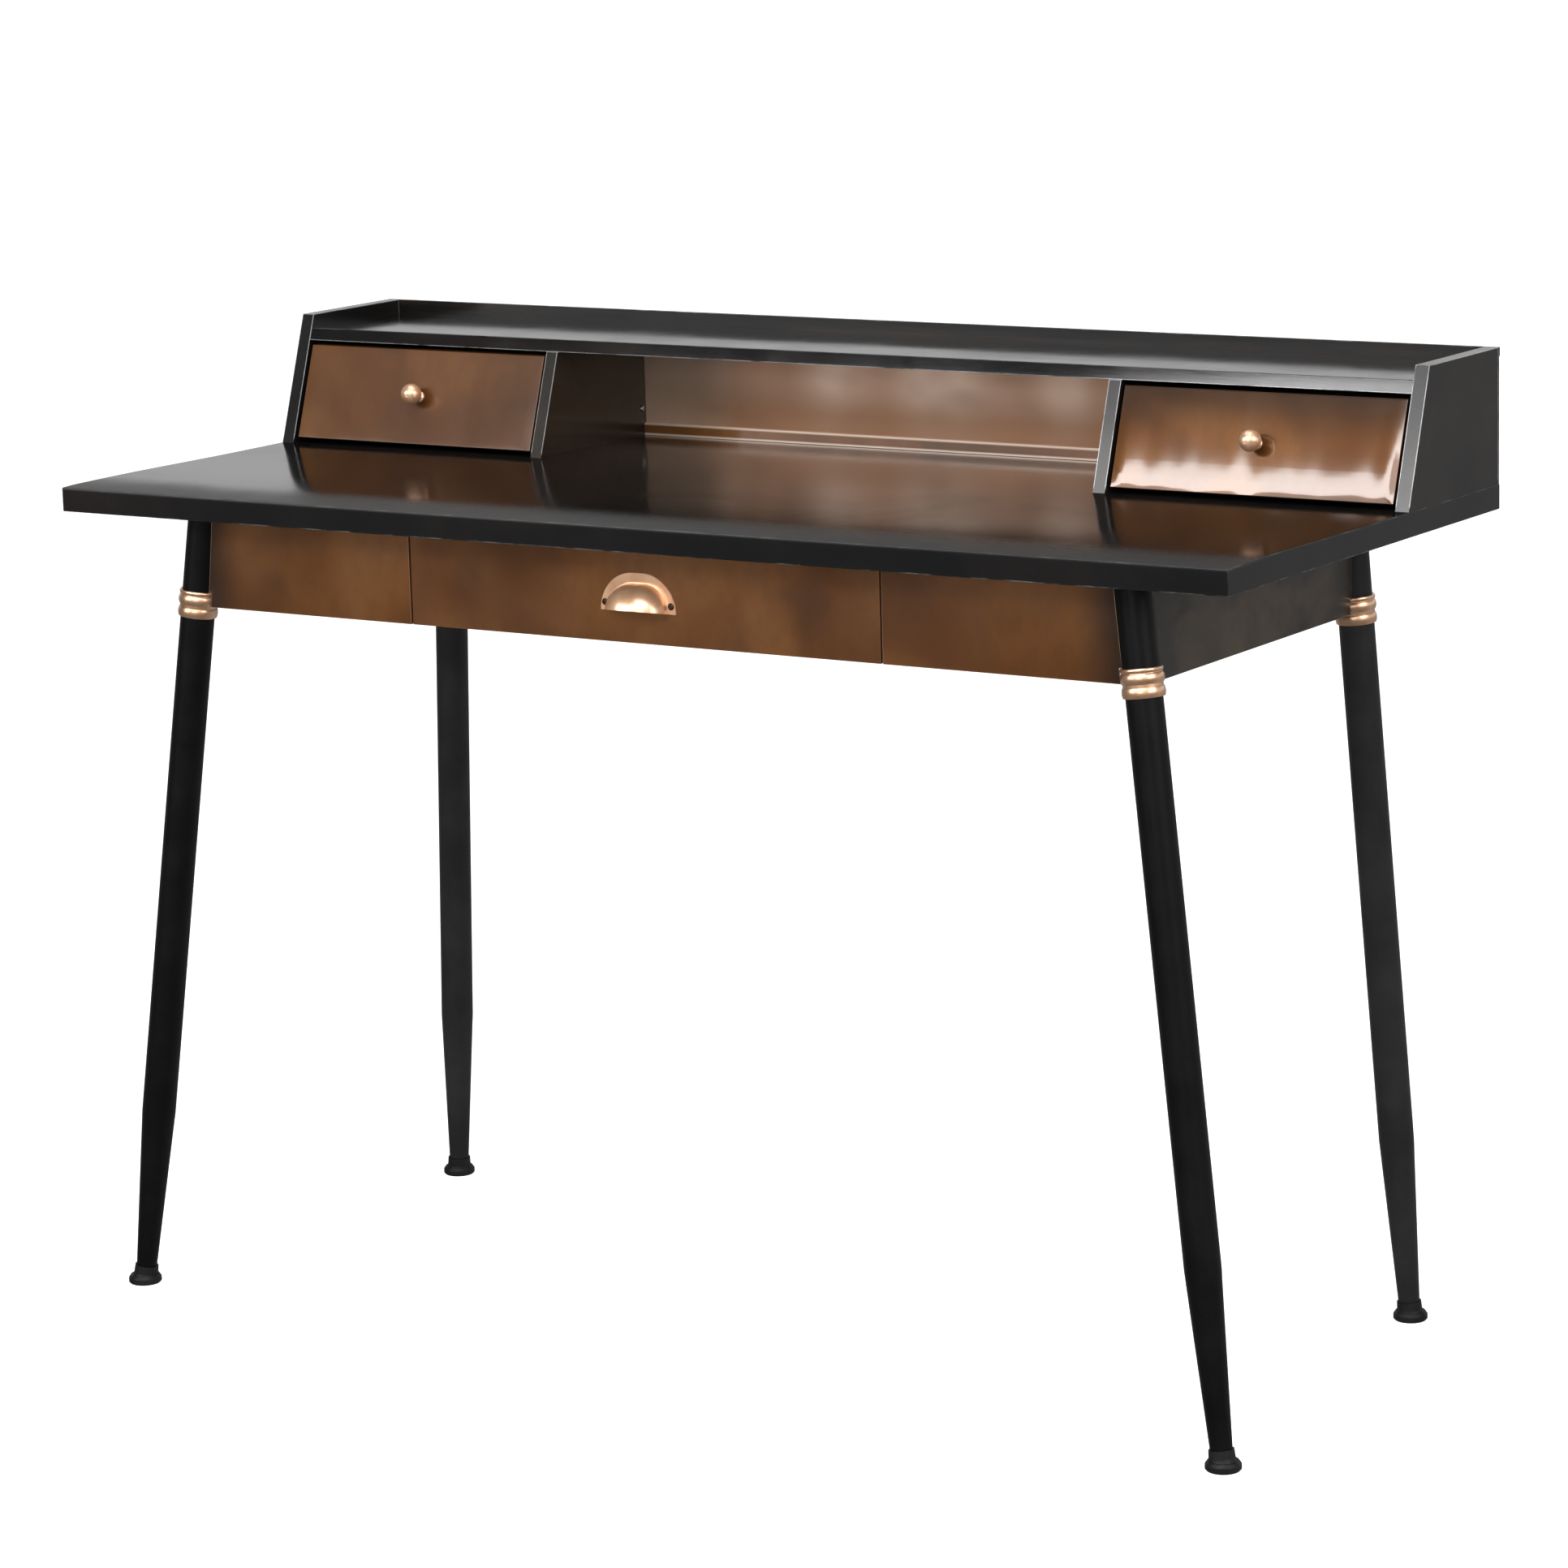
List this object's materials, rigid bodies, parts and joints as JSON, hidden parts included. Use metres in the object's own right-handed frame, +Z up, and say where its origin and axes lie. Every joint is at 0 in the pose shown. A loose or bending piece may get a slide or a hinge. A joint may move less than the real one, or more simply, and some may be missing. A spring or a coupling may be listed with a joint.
{
  "type": "writing desk with drawers",
  "caption": "Writing desk: black metal-clad top with a low raked hutch, copper-finished drawers above and below, and splayed tapered round legs.",
  "frame": {"origin": "on the floor, under the middle of the desktop", "axes": "+X to the desk's right as seen from the user's chair, -Y towards the user, +Z up"},
  "size_m": [1.2, 0.51, 0.88],
  "materials": {
    "black_lacquer": "satin-gloss black lacquer over sheet steel, worn bright on a few folded edges",
    "dark_steel": "dark lacquered steel with a mottled brown patina",
    "copper_patina": "steel with a glossy, blotchy copper-brown patina under lacquer",
    "drawer_steel": "black powder coat",
    "slide_steel": "zinc-plated",
    "rose_gold": "polished rose-gold plating",
    "rivet_steel": "plain",
    "leg_black": "satin black powder coat",
    "foot_plastic": "moulded black plastic",
    "nylon": "off-white nylon",
    "board": "fibreboard, sealed black underneath"
  },
  "bodies": {
    "frame": {"desktop_shell": "black_lacquer", "hutch_back": "black_lacquer", "hutch_shelf": "black_lacquer", "hutch_side_left": "black_lacquer", "hutch_side_right": "black_lacquer", "hutch_divider_left": "black_lacquer", "hutch_divider_right": "black_lacquer", "apron_back": "dark_steel", "apron_side_left": "dark_steel", "apron_side_right": "dark_steel", "compartment_back": "copper_patina", "compartment_ledge": "copper_patina", "apron_front_left": "copper_patina", "apron_front_right": "copper_patina", "slide_hanger_left": "drawer_steel", "slide_hanger_right": "drawer_steel", "slide_outer_left": "slide_steel", "slide_outer_right": "slide_steel", "under_screws": "slide_steel", "hutch_back_screws": "slide_steel", "leg_studs": "slide_steel", "leg_collar_front_left": "rose_gold", "leg_collar_front_right": "rose_gold", "leg_collar_rear_left": "rose_gold", "leg_collar_rear_right": "rose_gold", "divider_rivets": "rivet_steel", "leg_stub_front_left": "leg_black", "leg_stub_front_right": "leg_black", "leg_stub_rear_left": "leg_black", "leg_stub_rear_right": "leg_black", "leg_front_left": "leg_black", "leg_front_right": "leg_black", "leg_rear_left": "leg_black", "leg_rear_right": "leg_black", "leg_foot_front_left": "foot_plastic", "leg_foot_front_right": "foot_plastic", "leg_foot_rear_left": "foot_plastic", "leg_foot_rear_right": "foot_plastic", "desktop_core": "board"},
    "centre_drawer": {"centre_drawer_front": "copper_patina", "centre_drawer_box": "drawer_steel", "cup_pull": "rose_gold", "cup_pull_screws": "rose_gold", "slide_inner_left": "slide_steel", "slide_inner_right": "slide_steel"},
    "small_drawer_left": {"small_drawer_front_left": "copper_patina", "small_drawer_box_left": "drawer_steel", "small_drawer_glides_left": "nylon", "small_drawer_knob_left": "rose_gold", "small_drawer_knob_screw_left": "slide_steel"},
    "small_drawer_right": {"small_drawer_front_right": "copper_patina", "small_drawer_box_right": "drawer_steel", "small_drawer_glides_right": "nylon", "small_drawer_knob_right": "rose_gold", "small_drawer_knob_screw_right": "slide_steel"},
    "slide_middle_left": {"slide_middle_left": "slide_steel"},
    "slide_middle_right": {"slide_middle_right": "slide_steel"}
  },
  "joints": [
    {"name": "centre_drawer_slide", "type": "slide", "parent": "frame", "child": "centre_drawer", "axis": [0, -1, 0], "range_m": [0, 0.25]},
    {"name": "slide_left_extend", "type": "slide", "parent": "frame", "child": "slide_middle_left", "axis": [0, -1, 0], "range_m": [0, 0.125]},
    {"name": "slide_right_extend", "type": "slide", "parent": "frame", "child": "slide_middle_right", "axis": [0, -1, 0], "range_m": [0, 0.125]},
    {"name": "small_drawer_left_slide", "type": "slide", "parent": "frame", "child": "small_drawer_left", "axis": [0, -1, 0], "range_m": [0, 0.124]},
    {"name": "small_drawer_right_slide", "type": "slide", "parent": "frame", "child": "small_drawer_right", "axis": [0, -1, 0], "range_m": [0, 0.124]}
  ],
  "couplings": [
    {"joint": "slide_left_extend", "follows": "centre_drawer_slide", "ratio": 0.5},
    {"joint": "slide_right_extend", "follows": "centre_drawer_slide", "ratio": 0.5}
  ]
}
